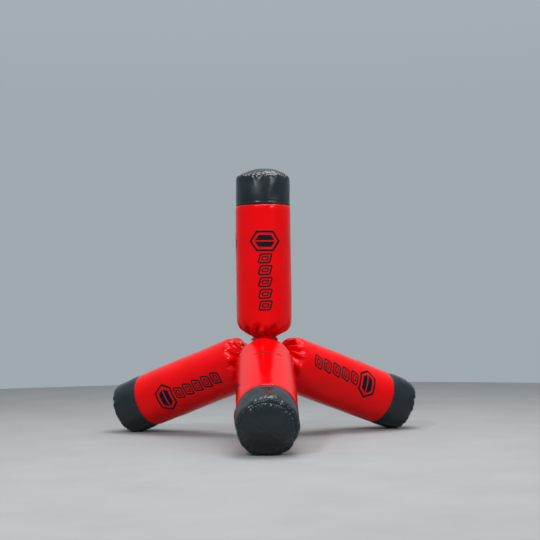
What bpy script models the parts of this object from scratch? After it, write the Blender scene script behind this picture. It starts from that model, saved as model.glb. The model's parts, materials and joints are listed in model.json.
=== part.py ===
"""Grappling dummy: four padded vinyl limbs joined at a soft webbing hub. Metres, +Z up.

Three limbs stand on the floor like the legs of a tetrapod and the fourth points straight up. Each limb
hangs on the hub through three joints: it folds about a rope in the hub, sways at its gathered neck and
twists about its own length.
"""

import math

import bmesh
import bpy
from mathutils import Matrix, Vector

# Driving dimensions. Distances along a limb (the "reach") start at the hub's centre.
LIMB_RADIUS = 0.127
SHOULDER_REACH = 0.160
SEAM_REACH = 0.686
RIM_REACH = 0.803
CROWN_REACH = 0.867
RIM_FILLET = 0.042
DISC_RADIUS = 0.113
NECK_RADIUS = 0.057
NECK_REACH = 0.085
MOUTH_REACH = 0.070

SKIN = 0.0015
GAP = 0.0004
SEAM_ALLOWANCE = 0.0012
SEGMENTS = 24
DOME_STEPS = 6
CROWN_STEPS = 3

# The hub and the webbing.
FOLD_REACH = 0.030
SWAY_REACH = 0.083
ROPE_RADIUS = 0.0055
ROPE_LENGTH = 0.082
WEB_WIDTH = 0.025
WEB_THICKNESS = 0.003
WEB_OFFSET = 0.0265
HUB_BEND = 0.012
EYE_RADIUS = ROPE_RADIUS + 0.0003 + WEB_THICKNESS / 2
TAIL_REACH = 0.017
TAIL_OFFSET = 0.0035
# The loops' legs and the anchor's legs lie face to face where the limb sways, each a lap past the axis.
LAP = 0.012
LAP_OFFSET = (WEB_THICKNESS + GAP) / 2
PAD_SIZE = (0.014, 0.014, 0.016)

# The anchor inside each limb's inner end.
COLLAR_BORE = 0.046
LINING_RADIUS = 0.051
COLLAR_REACH = 0.092
FOAM_EASE = 0.0015
PLATE_REACH = 0.150
PLATE_RADIUS = 0.090
PLATE_THICKNESS = 0.0043
CROSSBAR = 0.011

CORD_RING_RADIUS = 0.053
CORD_RADIUS = 0.004

# A regular tetrahedron: the lower limbs slope down at asin(1/3).
SLOPE_SIN = 1 / 3
SLOPE_COS = math.sqrt(1 - SLOPE_SIN**2)

# The facet of each lower cap that rests on the floor lies between two rings of the rim's fillet,
# placed evenly about the angle where the fillet is lowest, so that the facet is exactly level.
HALF_FACET = math.pi / SEGMENTS
FACET_COS = math.cos(HALF_FACET)
FOOT_ANGLE = math.atan2(SLOPE_SIN, SLOPE_COS * FACET_COS)
FOOT_SPREAD = math.radians(9)
FILLET_CENTRE = LIMB_RADIUS - RIM_FILLET
FOOT_REACH = RIM_REACH + RIM_FILLET * math.sin(FOOT_ANGLE + FOOT_SPREAD)
FOOT_RADIUS = FILLET_CENTRE + RIM_FILLET * math.cos(FOOT_ANGLE + FOOT_SPREAD)
HUB_HEIGHT = FOOT_REACH * SLOPE_SIN + FOOT_RADIUS * SLOPE_COS * FACET_COS

# The end disc's seam is the ring where the fillet has closed in to the disc's radius. The disc is
# crowned: part of a sphere from that ring up to the limb's tip.
SEAM_ANGLE = math.asin((DISC_RADIUS - FILLET_CENTRE) / RIM_FILLET)
CROWN_HEIGHT = CROWN_REACH - RIM_REACH - RIM_FILLET * math.cos(SEAM_ANGLE)
CROWN_RADIUS = (DISC_RADIUS**2 + CROWN_HEIGHT**2) / (2 * CROWN_HEIGHT)
CROWN_ANGLE = math.asin(DISC_RADIUS / CROWN_RADIUS)

# The hub stands back from the middle, because the front limb reaches further than the rear two.
FRONT_SPAN = (CROWN_REACH - CROWN_RADIUS) * SLOPE_COS + CROWN_RADIUS
REAR_COS = SLOPE_COS / 2
REAR_SPAN = RIM_REACH * REAR_COS + FILLET_CENTRE * math.sqrt(1 - REAR_COS**2) + RIM_FILLET
HUB = Vector((0, (FRONT_SPAN - REAR_SPAN) / 2, HUB_HEIGHT))

ACROSS = Vector((1, 0, 0))
BISECTOR = Vector((0, -math.sqrt(2 / 3), math.sqrt(1 / 3)))
SIDEWAYS = Vector((0, math.sqrt(1 / 3), math.sqrt(2 / 3)))

# Each limb's direction from the hub, and the axis that it folds about.
LIMBS = {
    "top": (Vector((0, 0, 1)), -ACROSS),
    "front": (Vector((0, -SLOPE_COS, -SLOPE_SIN)), ACROSS),
    "right": (Vector((math.sqrt(3) / 2 * SLOPE_COS, SLOPE_COS / 2, -SLOPE_SIN)), -SIDEWAYS),
    "left": (Vector((-math.sqrt(3) / 2 * SLOPE_COS, SLOPE_COS / 2, -SLOPE_SIN)), SIDEWAYS),
}


def axes_matrix(x_axis, y_axis, z_axis, origin=(0, 0, 0)):
    """A frame with the given axes and origin."""
    turn = Matrix((x_axis, y_axis, z_axis)).transposed().to_4x4()
    return Matrix.Translation(origin) @ turn


def clear_scene():
    for obj in list(bpy.data.objects):
        bpy.data.objects.remove(obj, do_unlink=True)


def new_material(name, colour, roughness, metallic=0.0):
    material = bpy.data.materials.new(name)
    material.use_nodes = True
    shader = material.node_tree.nodes["Principled BSDF"]
    shader.inputs["Base Color"].default_value = (*colour, 1)
    shader.inputs["Roughness"].default_value = roughness
    shader.inputs["Metallic"].default_value = metallic
    return material


def place(obj, material, parent, matrix=None):
    """Links an object into the part, under its parent empty."""
    PARTS.objects.link(obj)
    obj.data.materials.append(material)
    obj.parent = parent
    obj.matrix_local = matrix or Matrix()
    return obj


def new_empty(name, parent, matrix):
    empty = bpy.data.objects.new(name, None)
    PARTS.objects.link(empty)
    empty.empty_display_size = 0.03
    empty.parent = parent
    empty.matrix_local = matrix
    return empty


def turned(name, profile, material, parent, shell=False, closed=False):
    """Turns (radius, reach) points about the limb's axis. A facet, not an edge, faces each 15 degrees."""
    mesh = bpy.data.meshes.new(name)
    cos, sin = math.cos(HALF_FACET), math.sin(HALF_FACET)
    points = [(radius * cos, radius * sin, reach) for radius, reach in profile]
    edges = [(i, i + 1) for i in range(len(points) - 1)]
    if closed:
        edges.append((len(points) - 1, 0))
    mesh.from_pydata(points, edges, [])
    obj = place(bpy.data.objects.new(name, mesh), material, parent)
    screw = obj.modifiers.new("Turn", "SCREW")
    screw.steps = SEGMENTS
    screw.render_steps = SEGMENTS
    screw.use_merge_vertices = True
    screw.merge_threshold = 0.0001
    screw.use_smooth_shade = True
    if shell:
        solidify = obj.modifiers.new("Skin", "SOLIDIFY")
        solidify.thickness = SKIN
        solidify.offset = -1
        solidify.use_even_offset = True
    return obj


def plane_curve(name, points, half_depth, material, parent, matrix, cyclic=False):
    """A 2D curve through straight runs, extruded half_depth to each side of its plane."""
    curve = bpy.data.curves.new(name, "CURVE")
    curve.dimensions = "2D"
    curve.fill_mode = "BOTH" if cyclic else "NONE"
    curve.extrude = half_depth
    spline = curve.splines.new("POLY")
    spline.points.add(len(points) - 1)
    for point, (x, y) in zip(spline.points, points):
        point.co = (x, y, 0, 1)
    spline.use_cyclic_u = cyclic
    return place(bpy.data.objects.new(name, curve), material, parent, matrix)


def webbing(name, points, material, parent, matrix):
    """A strip of webbing that follows points in the frame's XY plane, with its width along Z."""
    obj = plane_curve(name, points, WEB_WIDTH / 2, material, parent, matrix)
    solidify = obj.modifiers.new("Weave", "SOLIDIFY")
    solidify.thickness = WEB_THICKNESS
    solidify.offset = 0
    solidify.use_even_offset = True
    return obj


def arc(centre, radius, start, end, steps):
    """Points on an arc, from start to end degrees."""
    angles = [math.radians(start + (end - start) * i / steps) for i in range(steps + 1)]
    return [(centre[0] + radius * math.cos(a), centre[1] + radius * math.sin(a)) for a in angles]


def rod(name, radius, length, sides, material, parent, matrix):
    """A round bar along its own Z axis."""
    mesh = bpy.data.meshes.new(name)
    bm = bmesh.new()
    bmesh.ops.create_cone(
        bm, cap_ends=True, segments=sides, radius1=radius, radius2=radius, depth=length
    )
    bm.to_mesh(mesh)
    bm.free()
    return place(bpy.data.objects.new(name, mesh), material, parent, matrix)


def dome(inset, start_reach=NECK_REACH, end_reach=SHOULDER_REACH):
    """The rounded inner end as a quarter ellipse, from the limb's side down to the neck."""
    length = SHOULDER_REACH - NECK_REACH - inset
    height = LIMB_RADIUS - NECK_RADIUS - inset
    first = math.acos((SHOULDER_REACH - end_reach) / length)
    last = math.acos(min(1, (SHOULDER_REACH - start_reach) / length))
    angles = [first + (last - first) * i / DOME_STEPS for i in range(DOME_STEPS + 1)]
    return [(NECK_RADIUS + height * math.sin(a), SHOULDER_REACH - length * math.cos(a)) for a in angles]


def crown(inset):
    """The crowned end as part of a sphere, from the axis out to the end disc's seam."""
    radius = CROWN_RADIUS - inset
    centre = CROWN_REACH - CROWN_RADIUS
    angles = [CROWN_ANGLE * i / CROWN_STEPS for i in range(CROWN_STEPS + 1)]
    return [(radius * math.sin(a), centre + radius * math.cos(a)) for a in angles]


def rim(inset, angles):
    """Rings of the fillet between the crown and the limb's side."""
    radius = RIM_FILLET - inset
    return [(FILLET_CENTRE + radius * math.sin(a), RIM_REACH + radius * math.cos(a)) for a in angles]


def rim_angles(margin):
    """Fillet angles from the seam to the side, measured from the limb's axis."""
    foot = math.pi / 2 - FOOT_ANGLE
    return [SEAM_ANGLE + margin, foot - FOOT_SPREAD, foot + FOOT_SPREAD, math.pi / 2]


def make_cover(name, parent):
    """The sewn cover: red sleeve, black cap, black end disc and the cord that gathers the neck."""
    mouth = [(NECK_RADIUS - 0.003, NECK_REACH - 0.005), (NECK_RADIUS - 0.001, MOUTH_REACH)]
    sleeve = [(LIMB_RADIUS, SEAM_REACH - GAP / 2)] + dome(0) + mouth
    turned(f"{name}_sleeve", sleeve, RED_VINYL, parent, shell=True)
    seam_margin = SEAM_ALLOWANCE / RIM_FILLET
    cap = rim(0, rim_angles(seam_margin)) + [(LIMB_RADIUS, SEAM_REACH + GAP / 2)]
    turned(f"{name}_cap", cap, BLACK_VINYL, parent, shell=True)
    turned(f"{name}_end_disc", crown(0), BLACK_VINYL, parent, shell=True)
    bpy.ops.mesh.primitive_torus_add(
        major_segments=20, minor_segments=6, major_radius=CORD_RING_RADIUS, minor_radius=CORD_RADIUS
    )
    cord = bpy.context.object
    cord.name = f"{name}_drawcord"
    for collection in cord.users_collection:
        collection.objects.unlink(cord)
    height = MOUTH_REACH - CORD_RADIUS - GAP
    place(cord, BLACK_CORD, parent, Matrix.Translation((0, 0, height)))


def make_filling(name, parent):
    """The foam that fills the cover: a long core, and a collar that lines the neck and holds the plate."""
    inset = SKIN + GAP
    above_plate = PLATE_REACH + PLATE_THICKNESS + GAP
    side = [(LIMB_RADIUS - inset, SHOULDER_REACH), (LIMB_RADIUS - inset - FOAM_EASE, above_plate)]
    core = crown(inset) + rim(inset, rim_angles(0)[1:]) + side + [(0, above_plate)]
    turned(f"{name}_core", core, FOAM, parent)
    collar = dome(inset + FOAM_EASE, COLLAR_REACH, PLATE_REACH - GAP)
    lining_end = MOUTH_REACH + 2 * SKIN
    lining = [(LINING_RADIUS, COLLAR_REACH - 2 * SKIN), (LINING_RADIUS, lining_end)]
    bore = [(COLLAR_BORE, lining_end), (COLLAR_BORE, PLATE_REACH - GAP)]
    turned(f"{name}_collar", collar + lining + bore, FOAM, parent, closed=True)


def make_anchor(name, parent):
    """The plate inside the limb and the webbing sewn to it."""
    middle = Matrix.Translation((0, 0, PLATE_REACH + PLATE_THICKNESS / 2))
    rod(f"{name}_anchor_plate", PLATE_RADIUS, PLATE_THICKNESS, SEGMENTS, PLASTIC, parent, middle)
    outer = WEB_OFFSET + WEB_WIDTH / 2
    inner = WEB_OFFSET - WEB_WIDTH / 2
    top = PLATE_REACH - GAP
    bottom = SWAY_REACH - LAP
    half = [(outer, top), (outer, bottom), (inner, bottom), (inner, top - CROSSBAR)]
    outline = half + [(-x, y) for x, y in reversed(half)]
    frame = axes_matrix((1, 0, 0), (0, 0, 1), (0, -1, 0), (0, LAP_OFFSET, 0))
    plane_curve(f"{name}_anchor_web", outline, WEB_THICKNESS / 2, WEBBING, parent, frame, cyclic=True)


def make_loops(name, parent):
    """The two webbing loops that carry the limb on its rope. Their eyes turn about the rope."""
    rope = (0, FOLD_REACH)
    leg = [
        (-LAP_OFFSET, SWAY_REACH + LAP),
        (-LAP_OFFSET, FOLD_REACH + 0.030),
        (-TAIL_OFFSET, FOLD_REACH + 0.020),
        (-EYE_RADIUS, FOLD_REACH + 0.006),
    ]
    eye = arc(rope, EYE_RADIUS, 180, 402, 8)
    tail = [(0.0008, FOLD_REACH + 0.011)]
    for side, offset in (("a", -WEB_OFFSET), ("b", WEB_OFFSET)):
        frame = axes_matrix((0, 1, 0), (0, 0, 1), (1, 0, 0), (offset, 0, 0))
        webbing(f"{name}_loop_{side}", leg + eye + tail, WEBBING, parent, frame)


def make_limb(name, direction, fold_axis):
    frame = axes_matrix(fold_axis, direction.cross(fold_axis), direction, HUB)
    fold = new_empty(f"{name}_fold_axis", None, frame @ Matrix.Translation((0, 0, FOLD_REACH)))
    sway = new_empty(f"{name}_sway_axis", fold, Matrix.Translation((0, 0, SWAY_REACH - FOLD_REACH)))
    # These two stand at the hub's centre, so that everything on them is placed by its reach.
    fold_base = new_empty(f"{name}_fold_base", fold, Matrix.Translation((0, 0, -FOLD_REACH)))
    twist = new_empty(f"{name}_twist_axis", sway, Matrix.Translation((0, 0, -SWAY_REACH)))
    make_loops(name, fold_base)
    make_anchor(name, twist)
    make_cover(name, twist)
    make_filling(name, twist)


def make_hub():
    """Two bent bands of webbing hooked through each other, and the ropes that the limbs turn on."""
    hub = new_empty("hub_centre", None, Matrix.Translation(HUB))
    along = Vector((math.sqrt(2 / 3), math.sqrt(1 / 3)))
    inward = Vector((-along.y, along.x))
    rope = along * FOLD_REACH
    slope = math.degrees(math.atan2(along.y, along.x))
    tail = along * TAIL_REACH - inward * TAIL_OFFSET
    half = [tuple(tail)] + arc(rope, EYE_RADIUS, slope + 132, slope - 90, 8)
    half += [(0.020, 0), (0.010, -0.0095), (0.004, -0.0117)]
    path = half + [(0, -HUB_BEND)] + [(-x, y) for x, y in reversed(half)]
    frames = {
        "upper": axes_matrix(SIDEWAYS, BISECTOR, ACROSS),
        "lower": axes_matrix(ACROSS, -BISECTOR, SIDEWAYS),
    }
    for name, frame in frames.items():
        webbing(f"hub_band_{name}", path, WEBBING, hub, frame)
    for name, (direction, fold_axis) in LIMBS.items():
        side = direction.cross(fold_axis)
        frame = axes_matrix(side, direction, fold_axis, direction * FOLD_REACH)
        rod(f"hub_rope_{name}", ROPE_RADIUS, ROPE_LENGTH, 12, BLACK_CORD, hub, frame)
    mesh = bpy.data.meshes.new("hub_pad")
    bm = bmesh.new()
    bmesh.ops.create_cube(bm, size=1)
    bmesh.ops.scale(bm, vec=PAD_SIZE, verts=bm.verts)
    bm.to_mesh(mesh)
    bm.free()
    pad = place(
        bpy.data.objects.new("hub_pad", mesh), FOAM, hub, axes_matrix(SIDEWAYS, -ACROSS, BISECTOR)
    )
    bevel = pad.modifiers.new("Rounded", "BEVEL")
    bevel.width = 0.002
    bevel.segments = 1


clear_scene()
PARTS = bpy.data.collections.new("grappling_dummy")
bpy.context.scene.collection.children.link(PARTS)
RED_VINYL = new_material("red_vinyl", (0.62, 0.02, 0.03), 0.32)
BLACK_VINYL = new_material("black_vinyl", (0.03, 0.035, 0.045), 0.38)
WEBBING = new_material("webbing", (0.02, 0.02, 0.02), 0.8)
BLACK_CORD = new_material("black_cord", (0.025, 0.025, 0.025), 0.75)
FOAM = new_material("foam", (0.75, 0.75, 0.72), 0.9)
PLASTIC = new_material("plastic", (0.1, 0.1, 0.1), 0.5)

make_hub()
for limb_name, (limb_direction, limb_fold_axis) in LIMBS.items():
    make_limb(limb_name, limb_direction, limb_fold_axis)
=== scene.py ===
"""Looks of the grappling dummy: gathered sleeves, puckered caps, webbing, cords, prints and the studio."""

import json
import math

import bmesh
import bpy
import numpy as np
from mathutils import Matrix, Vector


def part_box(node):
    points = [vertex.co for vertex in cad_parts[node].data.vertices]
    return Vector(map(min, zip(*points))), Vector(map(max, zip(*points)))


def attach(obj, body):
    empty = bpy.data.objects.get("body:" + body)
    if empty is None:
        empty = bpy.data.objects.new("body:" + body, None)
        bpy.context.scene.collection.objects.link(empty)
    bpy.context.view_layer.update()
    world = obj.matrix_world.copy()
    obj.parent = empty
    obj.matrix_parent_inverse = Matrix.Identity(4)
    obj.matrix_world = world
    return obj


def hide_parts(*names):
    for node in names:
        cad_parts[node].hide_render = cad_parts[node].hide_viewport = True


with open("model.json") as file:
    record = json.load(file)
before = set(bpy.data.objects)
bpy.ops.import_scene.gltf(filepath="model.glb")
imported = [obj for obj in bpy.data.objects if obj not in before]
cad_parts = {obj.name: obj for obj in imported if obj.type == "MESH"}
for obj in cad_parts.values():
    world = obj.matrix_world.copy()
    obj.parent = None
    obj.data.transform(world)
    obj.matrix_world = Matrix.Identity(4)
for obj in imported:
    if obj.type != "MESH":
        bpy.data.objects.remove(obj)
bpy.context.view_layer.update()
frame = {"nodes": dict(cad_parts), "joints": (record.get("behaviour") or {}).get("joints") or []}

MM = 0.001
LIMBS = ("top", "front", "right", "left")
JOINTS = {joint["name"]: joint for joint in frame["joints"]}


# ---------------------------------------------------------------- the frame's sizes

def box_centre(node):
    low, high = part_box(node)
    return (low + high) / 2


# The top limb is upright, so its nodes' boxes give every limb's sizes. CAD rings have 24 corners,
# none of which lies on a world axis.
HUB = box_centre("hub_pad")
CORNER_COS = math.cos(math.pi / 24)
RADIUS = (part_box("top_sleeve")[1].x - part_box("top_sleeve")[0].x) / 2 / CORNER_COS
SEAM_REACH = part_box("top_sleeve")[1].z - HUB.z
TIP_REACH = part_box("top_end_disc")[1].z - HUB.z
CORD_REACH = box_centre("top_drawcord").z - HUB.z
FOLD_REACH = (Vector(JOINTS["top_fold"]["pos_m"]) - HUB).length
SWAY_REACH = (Vector(JOINTS["top_sway"]["pos_m"]) - HUB).length

# The cover's outline: a shallow cone and a round shoulder at the hub, then a straight side, a rim fillet
# and a crown at the tip.
SHOULDER_REACH = 148 * MM
CORNER_RADIUS = 100 * MM
CONE_SLOPE = 0.508
NECK_REACH = 80 * MM
NECK_RADIUS = 57 * MM
RIM_REACH = 803 * MM
RIM_FILLET = 42 * MM
DISC_RADIUS = 113 * MM
FILLET_CENTRE = RADIUS - RIM_FILLET
SEAM_TURN = math.acos((DISC_RADIUS - FILLET_CENTRE) / RIM_FILLET)
DISC_REACH = RIM_REACH + RIM_FILLET * math.sin(SEAM_TURN)
CROWN_HEIGHT = TIP_REACH - DISC_REACH
CROWN_RADIUS = (DISC_RADIUS**2 + CROWN_HEIGHT**2) / (2 * CROWN_HEIGHT)

# The stitched lines on the cap: the groove of the disc's seam, and the hem beside the colour seam.
SEAM_DEPTH = 2.4 * MM
HEM_REACH = SEAM_REACH + 17 * MM

# The stuffed sleeve swells a little past the CAD's tube, and the caps that carry weight swell more.
SLEEVE_RADIUS = RADIUS + 2.6 * MM
CAP_SWELL = {"top": 0.3 * MM, "front": 4.5 * MM, "right": 3.0 * MM, "left": 3.0 * MM}

# The gathered neck: the cord pulls the sleeve in, and the hem flares out past it as a ruffle.
WAIST_RADIUS = 55 * MM
RUFFLE_REACH = CORD_REACH - 6 * MM
RUFFLE_RADIUS = 57 * MM
CORD_RING_RADIUS = 58 * MM
CORD_THICKNESS = 8 * MM

VINYL_THICKNESS = 1.2 * MM
FLOOR_CLEARANCE = 0.6 * MM

# The meshes' columns round a limb.
COLUMNS = 192
CAP_COLUMNS = 384

# The sleeve's simulated end: where it stops, the distance between its rows, how many of the last ones are
# pinned, how much fuller its flat sheet is at the hem, and how many frames it settles for.
GATHER_END = 232 * MM
ROW_STEP = 3.3 * MM
PINNED_ROWS = 5
HEM_FULLNESS = 0.09
SETTLE_FRAMES = 26

# The lobes that it starts from. A ring of them is this much shorter at the neck than round the tube, and its
# lobes are this deep at most, at the neck and on the cone.
LOBES = 12
LOBE_SWIRL = 0.3
NECK_SHORTENING = 0.42
NECK_DEPTH = 6.5 * MM
CONE_DEPTH = 26.5 * MM

# The kept shape: the settled cloth's share in it, how far its lobes and valleys stand from the outline, how
# much the cone's valleys are deepened, and how far from the limb's axis they stay.
SETTLED_SHARE = 0.35
LOBE_HEIGHT = 0.8 * MM
HIGHEST_LOBE = 2.0 * MM
DEEPEST_VALLEY = 19 * MM
VALLEY_GAIN = 0.45
LEAST_NECK_RADIUS = 49.5 * MM

# The foam: the opening for the webbing, and how deep under the cover it lies where the folds reach deepest.
NECK_BORE = 41 * MM
FOAM_INSET = 14 * MM


def cylinder_points(angle, radius, reach):
    angle, radius, reach = np.broadcast_arrays(angle, radius, reach)
    return np.stack([radius * np.cos(angle), radius * np.sin(angle), reach], axis=-1)


class Limb:
    """A limb's frame: across is the axis it folds about, and direction points from the hub to its tip."""

    def __init__(self, name, seed):
        self.name = name
        self.body = f"{name}_limb"
        self.direction = Vector(JOINTS[f"{name}_twist"]["axis"]).normalized()
        self.across = Vector(JOINTS[f"{name}_fold"]["axis"]).normalized()
        self.side = self.direction.cross(self.across)
        self.seed = seed

    def axes(self):
        return np.array([self.across, self.side, self.direction])

    def to_world(self, angle, radius, reach):
        """World points of limb coordinates, which broadcast."""
        return cylinder_points(angle, radius, reach) @ self.axes() + np.array(HUB)

    def angle_of(self, world_direction):
        """The angle about the limb that faces this world direction."""
        local = self.axes() @ np.array(world_direction)
        return math.atan2(local[1], local[0])


ALL_LIMBS = {name: Limb(name, 11 + 7 * i) for i, name in enumerate(LIMBS)}

# The prints: distances along the limb, the slant of their marks, and how the ink lies on the vinyl.
EMBLEM_REACH = 518 * MM
ROW_REACH = 438 * MM
ROW_PITCH = 54 * MM
FINE_ROW_REACH = 322 * MM
FINE_ROW_PITCH = 13.2 * MM
PRINT_SLANT = 0.3
INK_LIFT = 0.45 * MM
INK_THICKNESS = 0.25 * MM


# ---------------------------------------------------------------- mesh helpers

def smoothstep(low, high, value):
    t = np.clip((value - low) / (high - low), 0, 1)
    return t * t * (3 - 2 * t)


def waves(rng, count, most_turns, most_pitch, fewest_turns=0):
    """A soft random field over (angle, reach) that closes round the limb. Its size is about 1."""
    turns = rng.integers(fewest_turns, most_turns + 1, count)
    pitch = rng.uniform(-most_pitch, most_pitch, count)
    phase = rng.uniform(0, 2 * math.pi, count)

    def field(angle, reach):
        total = 0
        for m, k, p in zip(turns, pitch, phase):
            total = total + np.cos(m * angle + k * reach + p)
        return total * math.sqrt(2 / count)

    return field


def new_object(name, mesh):
    obj = bpy.data.objects.new(name, mesh)
    bpy.context.scene.collection.objects.link(obj)
    return obj


def grid_object(name, points, close_rows=True, close_columns=False, uv=None):
    """A mesh of quads through an array of points: rows run along, columns run round."""
    rows, columns = points.shape[:2]
    row_end = rows if close_columns else rows - 1
    column_end = columns if close_rows else columns - 1
    i, j = np.meshgrid(np.arange(row_end), np.arange(column_end), indexing="ij")
    next_i, next_j = (i + 1) % rows, (j + 1) % columns
    quads = np.stack(
        [i * columns + j, i * columns + next_j, next_i * columns + next_j, next_i * columns + j], axis=-1
    ).reshape(-1, 4)
    mesh = bpy.data.meshes.new(name)
    mesh.from_pydata(points.reshape(-1, 3).tolist(), [], quads.tolist())
    if uv is not None:
        layer = mesh.uv_layers.new(name="weave")
        layer.data.foreach_set("uv", uv.reshape(-1, 2)[quads.reshape(-1)].astype(np.float32).reshape(-1))
    mesh.shade_smooth()
    return new_object(name, mesh)


def finish_piece(obj, material, body, nodes=()):
    obj.data.materials.clear()
    obj.data.materials.append(material)
    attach(obj, body)
    if nodes:
        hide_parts(*nodes)


def close_tip(obj, row_start, count, point):
    """Fills the last ring of a grid with a fan to one point."""
    bm = bmesh.new()
    bm.from_mesh(obj.data)
    tip = bm.verts.new(point)
    bm.verts.ensure_lookup_table()
    for j in range(count):
        face = bm.faces.new((bm.verts[row_start + j], bm.verts[row_start + (j + 1) % count], tip))
        face.smooth = True
    bm.to_mesh(obj.data)
    bm.free()


def thicken(obj, thickness):
    """Gives a sheet its thickness, inwards, so that it is a closed shell."""
    solidify = obj.modifiers.new("Thickness", "SOLIDIFY")
    solidify.thickness = thickness
    solidify.offset = -1


# ---------------------------------------------------------------- materials

class Nodes:
    """A short way to write a node tree."""

    def __init__(self, name):
        self.material = bpy.data.materials.new(name)
        self.material.use_nodes = True
        self.tree = self.material.node_tree
        self.shader = self.tree.nodes["Principled BSDF"]

    def node(self, kind, inputs=None, **settings):
        node = self.tree.nodes.new(kind)
        for key, value in settings.items():
            setattr(node, key, value)
        for key, value in (inputs or {}).items():
            self.set(node.inputs[key], value)
        return node

    def set(self, socket, value):
        if isinstance(value, bpy.types.NodeSocket):
            self.tree.links.new(value, socket)
        else:
            socket.default_value = value

    def shade(self, **values):
        for key, value in values.items():
            self.set(self.shader.inputs[key.replace("_", " ")], value)

    def coordinates(self, output="Object"):
        return self.node("ShaderNodeTexCoord").outputs[output]

    def noise(self, scale, detail=4.0, rough=0.5, vector=None):
        inputs = {"Scale": scale, "Detail": detail, "Roughness": rough}
        inputs["Vector"] = vector if vector is not None else self.coordinates()
        return self.node("ShaderNodeTexNoise", inputs).outputs["Fac"]

    def ramp(self, factor, low, high, from_min=0.3, from_max=0.7):
        """Maps a factor to a value between low and high."""
        inputs = {0: factor, 1: from_min, 2: from_max, 3: low, 4: high}
        return self.node("ShaderNodeMapRange", inputs).outputs[0]

    def mix_colour(self, factor, first, second):
        mix = self.node("ShaderNodeMix", data_type="RGBA")
        for socket, value in ((0, factor), (6, first), (7, second)):
            self.set(mix.inputs[socket], value)
        return mix.outputs[2]

    def bump(self, height, distance, strength=1.0, normal=None):
        inputs = {"Height": height, "Distance": distance, "Strength": strength}
        if normal is not None:
            inputs["Normal"] = normal
        return self.node("ShaderNodeBump", inputs).outputs["Normal"]

    def sum(self, first, second, weight):
        inputs = {0: second, 1: weight, 2: first}
        return self.node("ShaderNodeMath", inputs, operation="MULTIPLY_ADD").outputs[0]


def vinyl(name, colour, second_colour, roughness, specular, grain_depth):
    """PVC-coated fabric: a pebbled grain under a glossy skin, with rubbed patches and slow waves."""
    n = Nodes(name)
    place = n.coordinates()
    cells = n.node("ShaderNodeTexVoronoi", {"Vector": place, "Scale": 620.0}, feature="DISTANCE_TO_EDGE")
    pebbles = n.ramp(cells.outputs["Distance"], 0.0, 1.0, 0.0, 0.14)
    fine = n.noise(1400.0, 2.0, vector=place)
    slow = n.noise(22.0, 3.0, vector=place)
    patches = n.noise(7.0, 5.0, 0.6, vector=place)
    grain = n.bump(n.sum(pebbles, fine, 0.4), grain_depth, 0.35)
    normal = n.bump(slow, 0.5 * MM, 0.35, normal=grain)
    n.shade(
        Base_Color=n.mix_colour(n.ramp(patches, 0.0, 1.0), (*colour, 1), (*second_colour, 1)),
        Roughness=n.ramp(patches, roughness - 0.05, roughness + 0.07),
        Normal=normal,
        Specular_IOR_Level=specular,
    )
    return n.material


def weave(name, colour):
    """Woven webbing: a herringbone of yarns across and along the strip. UV is in metres."""
    n = Nodes(name)
    place = n.coordinates("UV")
    along, across = (
        n.node("ShaderNodeTexWave", {"Vector": place, "Scale": scale, "Distortion": 0.0}, bands_direction=way)
        for scale, way in ((160.0, "Y"), (110.0, "X"))
    )
    yarns = n.sum(along.outputs["Fac"], across.outputs["Fac"], 0.7)
    fuzz = n.noise(900.0, 3.0)
    dark = (*colour, 1)
    light = (*[min(1, 2.6 * c + 0.008) for c in colour], 1)
    n.shade(
        Base_Color=n.mix_colour(n.ramp(yarns, 0.0, 1.0, 0.2, 1.5), dark, light),
        Roughness=n.ramp(fuzz, 0.62, 0.86),
        Normal=n.bump(n.sum(yarns, fuzz, 0.3), 0.5 * MM, 0.8),
        Sheen_Weight=0.25,
    )
    return n.material


def fibre(name, colour, roughness=0.75, scale=700.0, depth=0.3):
    """Cord, foam or moulded plastic: a fine speckle with a soft sheen."""
    n = Nodes(name)
    speckle = n.noise(scale, 3.0, 0.6)
    light = (*[min(1, 1.7 * c + 0.004) for c in colour], 1)
    n.shade(
        Base_Color=n.mix_colour(n.ramp(speckle, 0.0, 1.0), (*colour, 1), light),
        Roughness=n.ramp(speckle, roughness - 0.08, roughness + 0.08),
        Normal=n.bump(speckle, depth * MM, 0.6),
        Sheen_Weight=0.15,
    )
    return n.material


def print_ink(name, colour):
    """Screen-printed ink: thin, nearly matt, a little worn."""
    n = Nodes(name)
    worn = n.noise(160.0, 5.0, 0.7)
    faded = (*[c * 2.0 + 0.004 for c in colour], 1)
    n.shade(
        Base_Color=n.mix_colour(n.ramp(worn, 0.0, 1.0, 0.5, 0.85), (*colour, 1), faded),
        Roughness=n.ramp(worn, 0.34, 0.5),
        Normal=n.bump(worn, 0.05 * MM, 0.5),
        Specular_IOR_Level=0.1,
    )
    return n.material


RED_VINYL = vinyl("red_vinyl", (0.68, 0.0, 0.001), (0.76, 0.0, 0.002), 0.14, 0.14, 0.09 * MM)
BLACK_VINYL = vinyl("black_vinyl", (0.006, 0.011, 0.015), (0.009, 0.015, 0.020), 0.25, 0.38, 0.08 * MM)
WEBBING = weave("webbing", (0.010, 0.010, 0.011))
BLACK_CORD = fibre("black_cord", (0.010, 0.010, 0.011))
FOAM = fibre("foam", (0.62, 0.62, 0.58), 0.85, 260.0, 0.8)
PLATE = fibre("anchor_plastic", (0.03, 0.03, 0.032), 0.45, 300.0, 0.1)
INK = print_ink("printed_ink", (0.003, 0.005, 0.009))


# ---------------------------------------------------------------- the cover

def displaced(limb, outline, height, columns):
    """The cover's points when each stands height(angle, radius, reach) out from the outline."""
    angle = np.linspace(0, 2 * math.pi, columns, endpoint=False)[None, :]
    radius, reach = outline.radius[:, None], outline.reach[:, None]
    out = height(angle, radius, reach)
    return limb.to_world(
        angle, radius + out * outline.normal_radius[:, None], reach + out * outline.normal_reach[:, None]
    )


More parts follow.
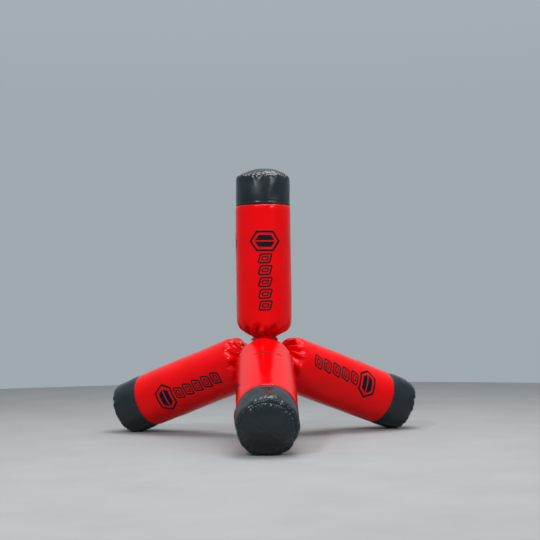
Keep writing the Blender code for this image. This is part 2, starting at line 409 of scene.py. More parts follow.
def rest_on_floor(points):
    """Flattens what would dip below the floor, with a soft edge."""
    blend = 1.5 * MM
    z = points[..., 2] - FLOOR_CLEARANCE
    points[..., 2] = FLOOR_CLEARANCE + 0.5 * (z + np.sqrt(z * z + blend * blend))
    return points


class Outline:
    """A meridian of the cover: radius, reach and outward normal along it, from the hub outwards."""

    def __init__(self, points):
        points = np.array(points)
        self.radius, self.reach = points[:, 0], points[:, 1]
        step = np.gradient(points, axis=0)
        length = np.hypot(step[:, 0], step[:, 1])
        self.normal_radius = step[:, 1] / length
        self.normal_reach = -step[:, 0] / length


def sleeve_outline():
    """(radius, reach) points of the ruffle, waist, neck, cone and shoulder, and some of the straight side."""
    points = []
    for t in np.linspace(0, 1, 12)[:-1]:
        radius = WAIST_RADIUS + (RUFFLE_RADIUS - WAIST_RADIUS) * (1 - t) ** 1.5
        points.append((radius, RUFFLE_REACH + (CORD_REACH - RUFFLE_REACH) * t))
    for t in np.linspace(0, 1, 12)[:-1]:
        radius = WAIST_RADIUS + (NECK_RADIUS - WAIST_RADIUS) * (t * t * (3 - 2 * t))
        points.append((radius, CORD_REACH + (NECK_REACH - CORD_REACH) * t))
    for radius in np.linspace(NECK_RADIUS, CORNER_RADIUS, 40)[:-1]:
        points.append((radius, NECK_REACH + CONE_SLOPE * (radius - NECK_RADIUS)))
    first = np.array([CORNER_RADIUS, NECK_REACH + CONE_SLOPE * (CORNER_RADIUS - NECK_RADIUS)])
    corner = np.array([SLEEVE_RADIUS, NECK_REACH + CONE_SLOPE * (SLEEVE_RADIUS - NECK_RADIUS)])
    last = np.array([SLEEVE_RADIUS, SHOULDER_REACH])
    for t in np.linspace(0, 1, 50)[:-1]:
        points.append(tuple((1 - t) ** 2 * first + 2 * t * (1 - t) * corner + t * t * last))
    points += [(SLEEVE_RADIUS, reach) for reach in np.linspace(SHOULDER_REACH, GATHER_END, 30)]
    return np.array(points)


def spaced(points, step):
    """The same line with a point every step, and each point's distance from the start."""
    along = np.concatenate([[0], np.cumsum(np.linalg.norm(np.diff(points, axis=0), axis=1))])
    distance = np.linspace(0, along[-1], round(along[-1] / step) + 1)
    return np.stack([np.interp(distance, along, column) for column in points.T], axis=1), distance


def side_waves(limb):
    """How far the vinyl on a limb's straight side stands in or out, in metres."""
    rng = np.random.default_rng(limb.seed)
    slow = waves(rng, 8, 3, 14)
    middle = waves(rng, 14, 9, 40, 3)
    slow_height, middle_height, seam_depth, seam_width = 0.6 * MM, 0.2 * MM, 1.6 * MM, 9 * MM

    def height(angle, reach):
        seam = np.exp(-(((reach - SEAM_REACH) / seam_width) ** 2))
        return slow_height * slow(angle, reach) + middle_height * middle(angle, reach) - seam_depth * seam

    return height


def lobes(rng):
    """A ring of uneven round lobes, about 1 at their tops and -1 in the sharp valleys between them."""
    widths = rng.uniform(0.6, 1.4, LOBES)
    edges = np.concatenate([[0], np.cumsum(widths)]) / widths.sum() * 2 * math.pi
    heights = rng.uniform(0.7, 1.15, LOBES)
    kernel = (1, 2, 1)

    def wave(angle):
        angle = angle % (2 * math.pi)
        index = np.clip(np.searchsorted(edges, angle, side="right") - 1, 0, LOBES - 1)
        across = (angle - edges[index]) / (edges[index + 1] - edges[index])
        ring = (2 * np.sin(math.pi * across) ** 0.8 - 1) * heights[index]
        return sum(k * np.roll(ring, i - 1) for i, k in enumerate(kernel)) / sum(kernel)

    return wave


def gathered_start(limb, line, angle):
    """The gathered end as a ring of lobes, just deep enough to hold the sheet's spare length."""
    rng = np.random.default_rng(limb.seed + 100)
    lobe_ring = lobes(rng)
    swirl = LOBE_SWIRL * smoothstep(SLEEVE_RADIUS, NECK_RADIUS, line[:, 0])
    waves_by_row = np.array([lobe_ring(angle + turn) for turn in swirl])

    def length(radius, depth, wave):
        loop = cylinder_points(angle, radius + depth * wave, 0.0)[:, :2]
        return np.linalg.norm(loop - np.roll(loop, 1, axis=0), axis=1).sum()

    whole = 2 * math.pi * SLEEVE_RADIUS
    depths = np.zeros(len(line))
    for i, (radius, wave) in enumerate(zip(line[:, 0], waves_by_row)):
        wanted = whole * (1 - NECK_SHORTENING * smoothstep(110 * MM, 56 * MM, radius))
        low, high = 0.0, 30 * MM
        if length(radius, 0, wave) < wanted:
            for _ in range(24):
                middle = (low + high) / 2
                low, high = (middle, high) if length(radius, middle, wave) < wanted else (low, middle)
            depths[i] = high
    on_cone = smoothstep(57 * MM, 75 * MM, line[:, 0])
    depths = np.minimum(depths, NECK_DEPTH + (CONE_DEPTH - NECK_DEPTH) * on_cone)
    outline = Outline(line)
    out = depths[:, None] * (waves_by_row - 1) + rng.normal(0, 0.12 * MM, (len(line), len(angle)))
    return cylinder_points(
        angle[None, :],
        line[:, :1] + out * outline.normal_radius[:, None],
        line[:, 1:] + out * outline.normal_reach[:, None],
    )


def foam_collider():
    """The foam under the gathered end: it holds the lobes' valleys up."""
    outline = Outline(sleeve_outline())
    side_inset, start, end = 2 * MM, 55 * MM, GATHER_END + 20 * MM
    inset = side_inset + (FOAM_INSET - side_inset) * smoothstep(172 * MM, 128 * MM, outline.reach)
    radius = outline.radius - inset * outline.normal_radius
    reach = outline.reach - inset * outline.normal_reach
    keep = outline.reach > NECK_REACH
    line = [(1 * MM, start), (NECK_BORE, start)]
    line += list(zip(np.maximum(radius[keep], NECK_BORE), reach[keep]))
    line += [(SLEEVE_RADIUS - side_inset, end), (1 * MM, end)]
    line = np.array(line)
    angle = np.linspace(0, 2 * math.pi, 72, endpoint=False)[None, :]
    foam = grid_object("foam_collider", cylinder_points(angle, line[:, :1], line[:, 1:]))
    bm = bmesh.new()
    bm.from_mesh(foam.data)
    bmesh.ops.recalc_face_normals(bm, faces=bm.faces)
    bm.to_mesh(foam.data)
    bm.free()
    foam.modifiers.new("Collision", "COLLISION")
    foam.collision.thickness_outer = 1 * MM
    foam.collision.cloth_friction = 3
    return foam


def settle(start, rest, pinned_rows):
    """Lets the lobed end settle as cloth over the foam. The rest shape is the flat, ungathered tube."""
    columns = start.shape[1]
    cloth = grid_object("gather_cloth", start)
    cloth.shape_key_add(name="Basis")
    flat = cloth.shape_key_add(name="flat")
    flat.data.foreach_set("co", rest.astype(np.float32).reshape(-1))
    pins = cloth.vertex_groups.new(name="pins")
    for row in pinned_rows:
        pins.add(list(range(row * columns, (row + 1) * columns)), 1.0, "REPLACE")
    modifier = cloth.modifiers.new("Cloth", "CLOTH")
    settings = modifier.settings
    settings.quality = 5
    settings.mass = 0.3
    settings.air_damping = 2
    settings.tension_stiffness = settings.compression_stiffness = 40
    settings.shear_stiffness = 12
    settings.bending_stiffness = 1.0
    settings.tension_damping = settings.compression_damping = 10
    settings.bending_damping = 0.8
    settings.vertex_group_mass = "pins"
    settings.rest_shape_key = flat
    settings.use_pressure = True
    settings.uniform_pressure_force = 2.2
    settings.effector_weights.gravity = 0
    modifier.collision_settings.distance_min = 1.2 * MM
    modifier.collision_settings.use_self_collision = False
    modifier.point_cache.frame_end = SETTLE_FRAMES
    for step in range(1, SETTLE_FRAMES + 1):
        bpy.context.scene.frame_set(step)
    settled = cloth.evaluated_get(bpy.context.evaluated_depsgraph_get())
    points = np.empty(start.size, np.float32)
    settled.data.vertices.foreach_get("co", points)
    bpy.context.scene.frame_set(1)
    bpy.data.objects.remove(cloth)
    return points.reshape(start.shape).astype(float)


def held_back(points):
    """Brings each ring's lobes to the outline, which keeps limbs apart, and deepens the valleys a little.

    out is how far a point stands outside the outline, and peak is where the lobes' tops of its ring stand."""
    outline = Outline(sleeve_outline())
    radius, reach = np.hypot(points[..., 0], points[..., 1]), points[..., 2]
    off_radius = radius[..., None] - outline.radius
    off_reach = reach[..., None] - outline.reach
    nearest = np.argmin(off_radius**2 + off_reach**2, axis=-1)
    normal_radius, normal_reach = outline.normal_radius[nearest], outline.normal_reach[nearest]
    out = (radius - outline.radius[nearest]) * normal_radius
    out += (reach - outline.reach[nearest]) * normal_reach
    peak = np.percentile(out, 90, axis=1)
    peak = np.convolve(np.pad(peak, 3, mode="edge"), np.ones(7) / 7, mode="valid")[:, None]
    shifted = out - np.maximum(peak - LOBE_HEIGHT, 0)
    on_cone = smoothstep(NECK_REACH, NECK_REACH + 12 * MM, reach) * smoothstep(
        SHOULDER_REACH + 25 * MM, SHOULDER_REACH - 15 * MM, reach
    )
    relief = LOBE_HEIGHT - (1 + VALLEY_GAIN * on_cone) * (LOBE_HEIGHT - shifted)
    move = np.clip(relief, -DEEPEST_VALLEY, HIGHEST_LOBE) - out
    new_radius = np.maximum(radius + move * normal_radius, LEAST_NECK_RADIUS)
    points = points.copy()
    points[..., :2] *= (new_radius / np.maximum(radius, 1e-6))[..., None]
    points[..., 2] = reach + move * normal_reach
    return points


def gathered_end(limb):
    """The sleeve's inner end in the limb's own coordinates, from the ruffle to GATHER_END."""
    line, along = spaced(sleeve_outline(), ROW_STEP)
    angle = np.linspace(0, 2 * math.pi, COLUMNS, endpoint=False)
    start = gathered_start(limb, line, angle)
    shoulder = along[np.argmax(line[:, 1] >= SHOULDER_REACH)]
    flat_reach = SHOULDER_REACH - shoulder + along
    fullness = 1 + HEM_FULLNESS * smoothstep(186 * MM, 150 * MM, flat_reach)
    rest = cylinder_points(angle[None, :], SLEEVE_RADIUS * fullness[:, None], flat_reach[:, None])
    waist = int(np.argmin(np.abs(line[: len(line) // 3, 1] - CORD_REACH)))
    settled = settle(start, rest, [waist, *range(len(line) - PINNED_ROWS, len(line))])
    return held_back(start + SETTLED_SHARE * (settled - start))


def make_sleeve(limb):
    end = gathered_end(limb)
    angle = np.linspace(0, 2 * math.pi, COLUMNS, endpoint=False)[None, :]
    tube_reach = np.linspace(GATHER_END, SEAM_REACH, 72)[1:, None]
    points = np.concatenate([end, cylinder_points(angle, SLEEVE_RADIUS, tube_reach)])
    height = side_waves(limb)
    radius = np.hypot(points[..., 0], points[..., 1])
    around = np.arctan2(points[..., 1], points[..., 0])
    on_side = smoothstep(SHOULDER_REACH - 20 * MM, SHOULDER_REACH + 30 * MM, points[..., 2])
    radius += height(around, points[..., 2]) * on_side
    sleeve = grid_object(f"{limb.name}_red_sleeve", limb.to_world(around, radius, points[..., 2]))
    thicken(sleeve, VINYL_THICKNESS)
    finish_piece(sleeve, RED_VINYL, limb.body, [f"{limb.name}_sleeve"])


def puckers(limb):
    """The small gathers each side of the end disc's seam, with a few long ones among them."""
    rng = np.random.default_rng(limb.seed + 200)
    short, long = 45, 14
    count = short + long
    is_long = np.arange(count) >= short
    place = np.where(is_long, (np.arange(count) - short) / long, np.arange(count) / short)
    angles = 2 * math.pi * (place + rng.uniform(-0.4, 0.4, count) / np.where(is_long, long, short))
    depths = rng.uniform(0.25, 1.0, count) * np.where(is_long, 4.5, 8.0) * MM
    lengths = np.where(is_long, rng.uniform(28, 60, count), rng.uniform(12, 26, count)) * MM
    widths = np.where(is_long, rng.uniform(6, 12, count), rng.uniform(3.9, 7.0, count)) * MM
    leans = rng.uniform(-0.7, 0.7, count)
    slow = waves(rng, 10, 5, 30, 1)
    middle = waves(rng, 16, 12, 60, 4)

    def height(angle, radius, reach, distance, seam_depth, fullness):
        """distance is how far along the surface a point is from the seam."""
        fold = np.zeros(np.broadcast(angle, reach).shape)
        for a, depth, length, width, lean in zip(angles, depths, lengths, widths, leans):
            gap = (angle - a + math.pi) % (2 * math.pi) - math.pi
            across = np.abs(gap * radius + lean * distance) / (width + 0.1 * distance)
            fold -= depth * np.exp(-((distance / length) ** 2) - across**1.3)
        puff = fullness * np.exp(-(((distance - 13 * MM) / (12 * MM)) ** 2))
        groove = -seam_depth * np.exp(-((distance / (2.6 * MM)) ** 1.3))
        soft = 1.2 * MM * slow(angle, reach) + 0.6 * MM * middle(angle, reach)
        return fold + puff + groove + soft * (1 - np.exp(-((distance / (9 * MM)) ** 2)))

    return height


def make_cap(limb):
    """The black band with its rounded rim, and the crowned disc sewn into it."""
    gather = puckers(limb)
    side = [(RADIUS, reach) for reach in np.linspace(SEAM_REACH + 0.6 * MM, RIM_REACH, 56)[:-1]]
    turns = np.linspace(0, SEAM_TURN, 26)
    rim = [
        (FILLET_CENTRE + RIM_FILLET * math.cos(t), RIM_REACH + RIM_FILLET * math.sin(t)) for t in turns
    ]
    outline = Outline(side + rim)
    along = np.concatenate([[0], np.cumsum(np.hypot(np.diff(outline.radius), np.diff(outline.reach)))])
    distance = (along[-1] - along)[:, None]
    rng = np.random.default_rng(limb.seed + 300)
    dents = waves(rng, 12, 5, 36, 1)
    swell = CAP_SWELL[limb.name]
    band_puff, disc_puff = 4.0 * MM, 1.0 * MM
    pull_in, hem_depth, dent_height = 1.0 * MM, 1.3 * MM, 1.7 * MM

    def height(angle, radius, reach):
        seam = np.exp(-(((reach - SEAM_REACH) / (6 * MM)) ** 2))
        hem = np.exp(-(((reach - HEM_REACH) / (3.4 * MM)) ** 2))
        full = smoothstep(SEAM_REACH, SEAM_REACH + 55 * MM, reach) * smoothstep(0, 40 * MM, distance)
        return (
            gather(angle, radius, reach, distance, SEAM_DEPTH, band_puff)
            - pull_in * seam - hem_depth * hem + dent_height * dents(angle, reach) * full + swell * full
        )

    points = rest_on_floor(displaced(limb, outline, height, CAP_COLUMNS))
    band = grid_object(f"{limb.name}_black_cap", points)
    thicken(band, VINYL_THICKNESS)
    finish_piece(band, BLACK_VINYL, limb.body, [f"{limb.name}_cap"])

    span = math.asin(DISC_RADIUS / CROWN_RADIUS)
    steps = span * (1 - np.linspace(0, 1, 36)[:-1] ** 1.25)
    centre = TIP_REACH - CROWN_RADIUS
    disc_line = Outline([(CROWN_RADIUS * math.sin(a), centre + CROWN_RADIUS * math.cos(a)) for a in steps])
    disc_distance = ((span - steps) * CROWN_RADIUS)[:, None]
    # The disc has the band's folds, shallower, and soft waves of its own from a shifted reach.
    share, shift = 0.6, 50 * MM

    def disc_height(angle, radius, reach):
        fade = smoothstep(0, 30 * MM, radius)
        return share * gather(angle, radius, reach + shift, disc_distance, SEAM_DEPTH, disc_puff) * fade

    points = rest_on_floor(displaced(limb, disc_line, disc_height, CAP_COLUMNS))
    disc = grid_object(f"{limb.name}_black_disc", points)
    tip = points[-1].mean(axis=0) + np.array(limb.direction) * 0.2 * MM
    close_tip(disc, (points.shape[0] - 1) * points.shape[1], points.shape[1], tip)
    thicken(disc, VINYL_THICKNESS)
    finish_piece(disc, BLACK_VINYL, limb.body, [f"{limb.name}_end_disc"])


def make_filling(limb):
    """The foam inside, clear of the cover's deepest folds: a core with a rounded tip, and a collar."""
    angle = np.linspace(0, 2 * math.pi, 48, endpoint=False)[None, :]
    inner = RADIUS - FOAM_INSET
    bevel, tip_inset, tip_height, crown = 6 * MM, 40 * MM, 30 * MM, 36 * MM
    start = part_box("top_core")[0].z - HUB.z + 1 * MM
    line = [(1 * MM, start), (inner - bevel, start), (inner, start + bevel)]
    line += [(inner, reach) for reach in np.linspace(start + 20 * MM, RIM_REACH, 24)]
    for t in np.linspace(0, math.pi / 2, 12)[1:]:
        line.append((inner - tip_inset * (1 - math.cos(t)), RIM_REACH + tip_height * math.sin(t)))
    line.append((1 * MM, RIM_REACH + crown))
    line = np.array(line)
    core = grid_object(f"{limb.name}_foam_core", limb.to_world(angle, line[:, :1], line[:, 1:]))
    finish_piece(core, FOAM, limb.body, [f"{limb.name}_core"])

    start, end = NECK_REACH + 22 * MM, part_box("top_collar")[1].z - HUB.z - 1 * MM
    narrow, wide, edge = NECK_RADIUS + 8 * MM, inner - 12 * MM, 8 * MM
    ring = np.array([(NECK_BORE, start), (narrow, start), (wide, end - edge), (wide, end), (NECK_BORE, end)])
    collar = grid_object(
        f"{limb.name}_foam_collar", limb.to_world(angle, ring[:, :1], ring[:, 1:]), close_columns=True
    )
    finish_piece(collar, FOAM, limb.body, [f"{limb.name}_collar"])


# ---------------------------------------------------------------- prints

def stroke(points, width, step=3.5 * MM):
    """A closed outline with mitred corners, as a grid whose last row joins its first."""
    points = [np.array(p, float) for p in points]
    count = len(points)
    corners = []
    for i, p in enumerate(points):
        ways = [way / np.linalg.norm(way) for way in (p - points[i - 1], points[(i + 1) % count] - p)]
        normals = [np.array([w[1], -w[0]]) for w in ways]
        mitre = sum(normals) / np.linalg.norm(sum(normals))
        corners.append(mitre * width / 2 / max(0.4, mitre @ normals[0]))
    rows = []
    for i in range(count):
        a, b = points[i], points[(i + 1) % count]
        ca, cb = corners[i], corners[(i + 1) % count]
        pieces = max(1, round(np.linalg.norm(b - a) / step))
        for k in range(pieces):
            t = k / pieces
            middle, offset = a + (b - a) * t, ca + (cb - ca) * t
            rows.append([middle - offset, middle, middle + offset])
    return np.array(rows), True


def patch(corners, steps=14):
    """A filled four-sided shape, as an open grid."""
    a, b, c, d = (np.array(p, float) for p in corners)
    s, t = np.meshgrid(np.linspace(0, 1, steps), np.linspace(0, 1, steps), indexing="ij")
    s, t = s[..., None], t[..., None]
    return a * (1 - s) * (1 - t) + b * s * (1 - t) + c * s * t + d * (1 - s) * t, False


def slanted_box(width, height, centre, clip):
    """A parallelogram with clipped corners."""
    w, h = width / 2, height / 2
    corners = [
        (-w + clip, -h), (w - clip, -h), (w, -h + clip), (w, h - clip),
        (w - clip, h), (-w + clip, h), (-w, h - clip), (-w, -h + clip),
    ]
    return [(centre[0] + x + PRINT_SLANT * y, centre[1] + y) for x, y in corners]


def join(objects, name):
    bpy.ops.object.select_all(action="DESELECT")
    for obj in objects:
        obj.select_set(True)
    bpy.context.view_layer.objects.active = objects[0]
    bpy.ops.object.join()
    joined = bpy.context.view_layer.objects.active
    joined.name = name
    return joined


def print_shapes(limb, name, shapes, facing, drift=0.0):
    """Lays flat shapes on the sleeve: x runs round the limb from the facing angle, y is the reach."""
    surface = side_waves(limb)
    objects = []
    for index, (grid, closed) in enumerate(shapes):
        reach = grid[..., 1]
        angle = facing + drift * (EMBLEM_REACH - reach) + grid[..., 0] / SLEEVE_RADIUS
        points = limb.to_world(angle, SLEEVE_RADIUS + surface(angle, reach) + INK_LIFT, reach)
        objects.append(grid_object(f"{name}_{index}", points, close_rows=False, close_columns=closed))
    joined = join(objects, name)
    bm = bmesh.new()
    bm.from_mesh(joined.data)
    outward = Vector(limb.to_world(facing, 1.0, 0.0) - np.array(HUB))
    for face in bm.faces:
        if face.normal.dot(outward) < 0:
            face.normal_flip()
    bm.to_mesh(joined.data)
    bm.free()
    thicken(joined, INK_THICKNESS)
    finish_piece(joined, INK, limb.body)


def emblem():
    """A plain wide hexagon with a solid hexagon inside it, cut across the middle."""
    shapes = [stroke([(x, EMBLEM_REACH + y) for x, y in wide_hexagon(67 * MM, 43 * MM)], 10 * MM)]
    half_cut, cut_reach, half_height = 2.8 * MM, 47 * MM, 28 * MM
    inner = wide_hexagon(50 * MM, half_height)
    for side in (1, -1):
        low, high = half_cut * side, half_height * side
        corners = [(-cut_reach, low), (cut_reach, low), (inner[1][0], high), (inner[2][0], high)]
        shapes.append(patch([(x, EMBLEM_REACH + y) for x, y in corners]))
    return shapes


def wide_hexagon(half_width, half_height):
    shoulder = half_width * 0.56
    return [
        (half_width, 0), (shoulder, half_height), (-shoulder, half_height),
        (-half_width, 0), (-shoulder, -half_height), (shoulder, -half_height),
    ]


def blank_row():
    """Five blank slanted outlines, each round a smaller one."""
    shapes = []
    for row in range(5):
        centre = (0, ROW_REACH - row * ROW_PITCH)
        shapes.append(stroke(slanted_box(52 * MM, 40 * MM, centre, 5 * MM), 7.8 * MM))
        shapes.append(stroke(slanted_box(27 * MM, 15 * MM, centre, 2.5 * MM), 6.0 * MM))
    return shapes


def make_prints(limb, facing, second_turn, drift):
    """The same print on two sides of the limb, and a fine row of blank marks round its far side."""
    for side, turn in (("first", 0.0), ("second", second_turn)):
        print_shapes(limb, f"{limb.name}_{side}_print", emblem() + blank_row(), facing + turn, drift)
    marks = []
    widths = (6, 9, 7, 9, 10, 8, 10, 7, 9, 6)
    half_height = 6 * MM
    lean = PRINT_SLANT * half_height
    low, high = FINE_ROW_REACH - half_height, FINE_ROW_REACH + half_height
    for index, width in enumerate(widths):
        middle = (index - (len(widths) - 1) / 2) * FINE_ROW_PITCH - 10 * MM
        left, right = middle - width / 2 * MM, middle + width / 2 * MM
        bottom, top = [(left - lean, low), (right - lean, low)], [(right + lean, high), (left + lean, high)]
        marks.append(patch(bottom + top, 5))
    print_shapes(limb, f"{limb.name}_fine_row", marks, facing + math.pi)


# ---------------------------------------------------------------- webbing and cords

def smooth_path(points, step):
    """Points every step along a smooth curve through the given ones."""
    p = np.array(points, float)
    p = np.vstack([2 * p[0] - p[1], p, 2 * p[-1] - p[-2]])
    out = []
    for i in range(1, len(p) - 2):
        pieces = max(2, round(np.linalg.norm(p[i + 1] - p[i]) / step))
        for k in range(pieces):
            t = k / pieces
            out.append(0.5 * (2 * p[i] + (p[i + 1] - p[i - 1]) * t
                              + (2 * p[i - 1] - 5 * p[i] + 4 * p[i + 1] - p[i + 2]) * t**2
                              + (3 * p[i] - p[i - 1] - 3 * p[i + 1] + p[i + 2]) * t**3))
    out.append(p[-2])
    return np.array(out)


def arc(centre, radius, start, end, steps):
    angles = np.radians(np.linspace(start, end, steps + 1))
    return [(centre[0] + radius * math.cos(a), centre[1] + radius * math.sin(a)) for a in angles]


def strip(name, path, x_axis, y_axis, width_axis, origin, width, thickness):
    """A strip of webbing along a path in the plane of x_axis and y_axis, with soft rounded edges."""
    path = smooth_path(path, 1.5 * MM)
    tangent = np.gradient(path, axis=0)
    tangent /= np.linalg.norm(tangent, axis=1)[:, None]
    normal = np.stack([-tangent[:, 1], tangent[:, 0]], axis=1)
    along = np.concatenate([[0], np.cumsum(np.linalg.norm(np.diff(path, axis=0), axis=1))])
    across = np.array([-0.5, -0.47, -0.36, -0.12, 0.12, 0.36, 0.47, 0.5])
    lift = np.array([0.0, 0.36, 0.5, 0.46, 0.46, 0.5, 0.36, 0.0])
    section = np.concatenate([np.stack([across, lift], 1), np.stack([across[::-1], -lift[::-1]], 1)[1:-1]])
    flat = path[:, None] + normal[:, None] * (section[None, :, 1:] * thickness)
    axes = np.array([x_axis, y_axis, width_axis])
    uv = np.stack(np.broadcast_arrays(section[None, :, 0] * width, along[:, None]), axis=-1)
    local = np.concatenate([flat, uv[..., :1]], axis=-1)
    obj = grid_object(name, local @ axes + np.array(origin), uv=uv)
    bm = bmesh.new()
    bm.from_mesh(obj.data)
    bm.verts.ensure_lookup_table()
    count = len(section)
    bm.faces.new([bm.verts[j] for j in reversed(range(count))])
    bm.faces.new([bm.verts[(len(path) - 1) * count + j] for j in range(count)])
    bmesh.ops.recalc_face_normals(bm, faces=bm.faces)
    bm.to_mesh(obj.data)
    bm.free()
    return obj


ROPE_RADIUS = 5.5 * MM
ROPE_HALF_LENGTH = 40 * MM
KNOT_SIZE = 3.4 * MM
KNOT_CORD_RADIUS = 2.6 * MM
WEB_WIDTH = 25 * MM
WEB_OFFSET = 26.5 * MM
WEB_THICKNESS = 2.8 * MM
EYE_RADIUS = 7.3 * MM
LAP_OFFSET = 1.7 * MM


def make_loops(limb):
    """Two webbing loops: an eye round the rope and a leg into the neck."""
    rope = (0, FOLD_REACH)
    leg = [(-LAP_OFFSET, SWAY_REACH + reach * MM) for reach in (12, 0, -12, -22)]
    leg.append((-3.5 * MM, FOLD_REACH + 20 * MM))
    eye = arc(rope, EYE_RADIUS, 180, 402, 10)
    tail = [(0.8 * MM, FOLD_REACH + 11 * MM)]
    for part, offset in (("a", -WEB_OFFSET), ("b", WEB_OFFSET)):
        origin = HUB + limb.across * offset
        loop = strip(
            f"{limb.name}_webbing_{part}", leg + eye + tail, limb.side, limb.direction, limb.across,
            origin, WEB_WIDTH, WEB_THICKNESS,
        )
        finish_piece(loop, WEBBING, f"{limb.name}_web", [f"{limb.name}_loop_{part}"])


def make_hub():
    """The two hooked bands and the ropes that the loops turn on."""
    across = Vector((1, 0, 0))
    bisector = Vector((0, -math.sqrt(2 / 3), math.sqrt(1 / 3)))
    sideways = Vector((0, math.sqrt(1 / 3), math.sqrt(2 / 3)))
    along = np.array([math.sqrt(2 / 3), math.sqrt(1 / 3)])
    inward = np.array([-along[1], along[0]])
    slope = math.degrees(math.atan2(along[1], along[0]))
    tail = along * 17 * MM - inward * 3.5 * MM
    half = [tuple(tail)] + arc(along * FOLD_REACH, EYE_RADIUS, slope + 132, slope - 90, 10)
    half += [(20 * MM, 0), (10 * MM, -9.5 * MM)]
    path = half + [(0, -12 * MM)] + [(-x, y) for x, y in reversed(half)]
    for name, axes in (("upper", (sideways, bisector, across)), ("lower", (across, -bisector, sideways))):
        band = strip(f"hub_webbing_{name}", path, *axes, HUB, WEB_WIDTH, WEB_THICKNESS)
        finish_piece(band, WEBBING, "hub", [f"hub_band_{name}"])
    for limb in ALL_LIMBS.values():
        middle = np.array(HUB + limb.direction * FOLD_REACH)
        ends = np.linspace(-1, 1, 60)[:, None] * np.array(limb.across) * ROPE_HALF_LENGTH
        rope = twisted(f"hub_twisted_rope_{limb.name}", middle + ends, ROPE_RADIUS, 26 * MM, closed=False)
        finish_piece(rope, BLACK_CORD, "hub", [f"hub_rope_{limb.name}"])


def twisted(name, path, radius, lay, closed):
    """A laid cord: three strands, pressed together, that wind round the path once every lay."""
    strands, sides, press = 3, 8, 1.28
    path = np.array(path)
    count = len(path)
    if closed:
        tangent = np.roll(path, -1, 0) - np.roll(path, 1, 0)
        lengths = np.linalg.norm(np.roll(path, -1, 0) - path, axis=1)
    else:
        tangent = np.gradient(path, axis=0)
        lengths = np.append(np.linalg.norm(np.diff(path, axis=0), axis=1), 0)
    tangent /= np.linalg.norm(tangent, axis=1)[:, None]
    along = np.concatenate([[0], np.cumsum(lengths)[:-1]])
    turns = round(lengths.sum() / lay) if closed else lengths.sum() / lay
    guide = np.array([0.31, 0.52, 0.79])
    side = guide - tangent * (tangent @ guide)[:, None]
    side /= np.linalg.norm(side, axis=1)[:, None]
    up = np.cross(tangent, side)
    strand_radius = radius / (1 + 1 / math.sin(math.pi / strands)) * press
    orbit = radius - strand_radius
    around = np.linspace(0, 2 * math.pi, sides, endpoint=False)
    objects = []
    for s in range(strands):
        phase = 2 * math.pi * (along / lengths.sum() * turns + s / strands)
        centre = path + orbit * (np.cos(phase)[:, None] * side + np.sin(phase)[:, None] * up)
        ring = centre[:, None] + strand_radius * (
            np.cos(around)[None, :, None] * side[:, None] + np.sin(around)[None, :, None] * up[:, None]
        )
        obj = grid_object(f"{name}_{s}", ring, close_columns=closed)
        bm = bmesh.new()
        bm.from_mesh(obj.data)
        bm.verts.ensure_lookup_table()
        if not closed:
            bm.faces.new([bm.verts[j] for j in range(sides)])
            bm.faces.new([bm.verts[(count - 1) * sides + j] for j in reversed(range(sides))])
        bmesh.ops.recalc_face_normals(bm, faces=bm.faces)
        bm.to_mesh(obj.data)
        bm.free()
        objects.append(obj)
    return join(objects, name)


def make_drawcord(limb, knot_facing):
    """The laid cord round the gathered neck, with its knot."""
    angle = np.linspace(0, 2 * math.pi, 150, endpoint=False)
    ring = limb.to_world(angle, CORD_RING_RADIUS, CORD_REACH)
    cord = twisted(f"{limb.name}_neck_cord", ring, CORD_THICKNESS / 2, 17 * MM, closed=True)
    finish_piece(cord, BLACK_CORD, limb.body, [f"{limb.name}_drawcord"])
    # The knot is a trefoil that lies flat on the cord.
    t = np.linspace(0, 2 * math.pi, 72, endpoint=False)
    out = KNOT_SIZE * (np.sin(t) + 2 * np.sin(2 * t)) * 0.62
    along = KNOT_SIZE * (np.cos(t) - 2 * np.cos(2 * t)) * 0.62
    depth = -KNOT_SIZE * np.sin(3 * t) * 0.9
    knot_angle = knot_facing + out / CORD_RING_RADIUS
    path = limb.to_world(knot_angle, CORD_RING_RADIUS + 2 * MM + depth, CORD_REACH + along)
    knot = twisted(f"{limb.name}_cord_knot", path, KNOT_CORD_RADIUS, 14 * MM, closed=True)
    finish_piece(knot, BLACK_CORD, limb.body)


# ---------------------------------------------------------------- the studio

def make_floor():
    n = Nodes("pale_floor")
    mottle = n.noise(3.0, 6.0, 0.6)
    n.shade(
        Base_Color=n.mix_colour(n.ramp(mottle, 0.0, 1.0), (0.28, 0.285, 0.29, 1), (0.31, 0.315, 0.32, 1)),
        Roughness=0.8,
    )
    bpy.ops.mesh.primitive_circle_add(vertices=128, radius=5, fill_type="NGON")
    floor = bpy.context.object
    floor.name = "studio_floor"
    floor.data.materials.append(n.material)


def make_light(name, place, target, size, power):
    """A rectangular light at a place, aimed at the target."""
    light = bpy.data.lights.new(name, "AREA")
    light.shape = "RECTANGLE"
    light.size, light.size_y = size
    light.energy = power
    obj = new_object(name, light)
    obj.location = place
    obj.rotation_euler = (Vector(target) - Vector(place)).to_track_quat("-Z", "Y").to_euler()


def make_world():
    """A pale room: bright overhead, softer at the horizon."""
    world = bpy.data.worlds.new("studio")
    bpy.context.scene.world = world
    world.use_nodes = True
    tree = world.node_tree
    place = tree.nodes.new("ShaderNodeTexCoord")
    split = tree.nodes.new("ShaderNodeSeparateXYZ")
    ramp = tree.nodes.new("ShaderNodeValToRGB")
    tree.links.new(place.outputs["Generated"], split.inputs[0])
    tree.links.new(split.outputs["Z"], ramp.inputs["Fac"])
    tree.links.new(ramp.outputs["Color"], tree.nodes["Background"].inputs["Color"])
    low, high = ramp.color_ramp.elements
    low.position, low.color = 0.2, (0.35, 0.40, 0.43, 1)
    high.position, high.color = 1.0, (0.64, 0.67, 0.70, 1)
    tree.nodes["Background"].inputs["Strength"].default_value = 1.0


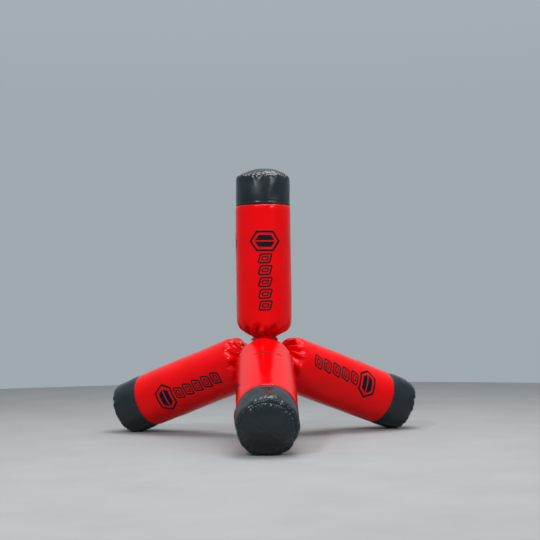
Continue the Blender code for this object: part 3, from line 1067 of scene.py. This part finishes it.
def make_camera():
    """The photograph's view: in front, a little above the hub, looking very slightly up."""
    camera = bpy.data.cameras.new("view")
    camera.sensor_width = 36
    camera.lens = 74.31
    camera.clip_end = 200
    obj = new_object("view", camera)
    away, height, aside = 41.1 * RADIUS, 1.075 * RADIUS, 0.233 * RADIUS
    pitch, roll, turn = math.radians(2.776), math.radians(-0.653), math.radians(-0.96)
    forward = Vector((0, math.cos(pitch), math.sin(pitch)))
    right = Vector((1, 0, 0))
    up = right.cross(forward)
    right, up = (
        math.cos(roll) * right + math.sin(roll) * up,
        -math.sin(roll) * right + math.cos(roll) * up,
    )
    view = Matrix((right, up, -forward)).transposed().to_4x4()
    around = Matrix.Translation(HUB) @ Matrix.Rotation(turn, 4, "Z")
    obj.matrix_world = around @ Matrix.Translation((aside, -away, height)) @ view
    bpy.context.scene.camera = obj


bpy.context.scene.view_settings.view_transform = "Standard"
make_camera()
make_world()
make_floor()
make_light("overhead", (0.3, 0.2, 3.6), (0, 0, 0.4), (2.4, 2.0), 112)
make_light("key", (-1.6, -3.4, 3.2), (0, 0, 0.5), (0.5, 0.5), 96)
make_light("side", (2.4, -3.0, 2.4), (0, 0, 0.5), (0.45, 0.45), 36)

TOWARD_VIEWER, DOWN = (0, -1, 0), (0, 0, -1)
# For each limb: the side its first print faces, the turn from that side and the turn from there to the second
# print, both in degrees, and how far the prints slant.
PRINT_SIDE = {
    "top": (TOWARD_VIEWER, 2.5, -108.0, 0.0),
    "front": (DOWN, 0.0, -88.0, 0.0),
    "right": (TOWARD_VIEWER, -20.0, -100.0, -0.35),
    "left": (TOWARD_VIEWER, -7.0, -100.0, 0.0),
}
foam = foam_collider()  # in the scene only while the sleeves are made
for limb in ALL_LIMBS.values():
    make_sleeve(limb)
    make_cap(limb)
    make_filling(limb)
    make_loops(limb)
    side, turn, second_turn, drift = PRINT_SIDE[limb.name]
    facing = limb.angle_of(side) + math.radians(turn)
    make_drawcord(limb, facing + 1.1)
    make_prints(limb, facing, math.radians(second_turn), drift)
bpy.data.objects.remove(foam)
make_hub()

pad = frame["nodes"]["hub_pad"]
pad.data.materials.clear()
pad.data.materials.append(FOAM)
for name in LIMBS:
    for node, material in ((f"{name}_anchor_plate", PLATE), (f"{name}_anchor_web", WEBBING)):
        frame["nodes"][node].data.materials.clear()
        frame["nodes"][node].data.materials.append(material)
